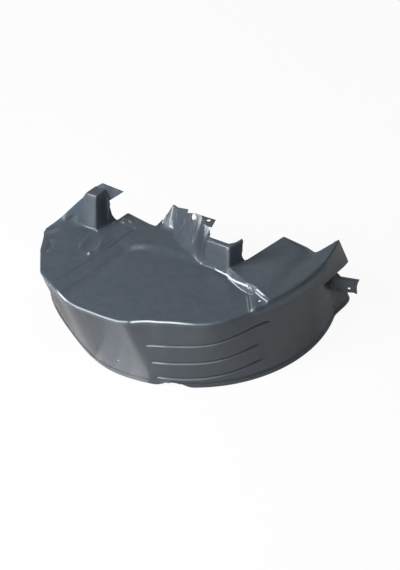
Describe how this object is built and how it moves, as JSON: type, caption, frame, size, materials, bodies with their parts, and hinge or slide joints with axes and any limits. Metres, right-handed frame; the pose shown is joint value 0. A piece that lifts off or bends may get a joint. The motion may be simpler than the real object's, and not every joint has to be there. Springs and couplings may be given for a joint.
{
  "type": "wheel arch liner",
  "caption": "Half-drum plastic wheel arch liner: ribbed arch band, recessed side wall, raised box, tower, ramp and screw tabs, lying on its outer rim.",
  "frame": {"origin": "middle of the footprint, on the surface that the outer rim rests on", "axes": "+X along the open side, +Y out of the open side, away from the top of the arch, +Z from the outer rim up to the side wall"},
  "size_m": [0.7616, 0.421, 0.299],
  "materials": {
    "liner_plastic": "satin, formed sheet"
  },
  "bodies": {
    "root": {"liner": "liner_plastic"}
  },
  "joints": []
}
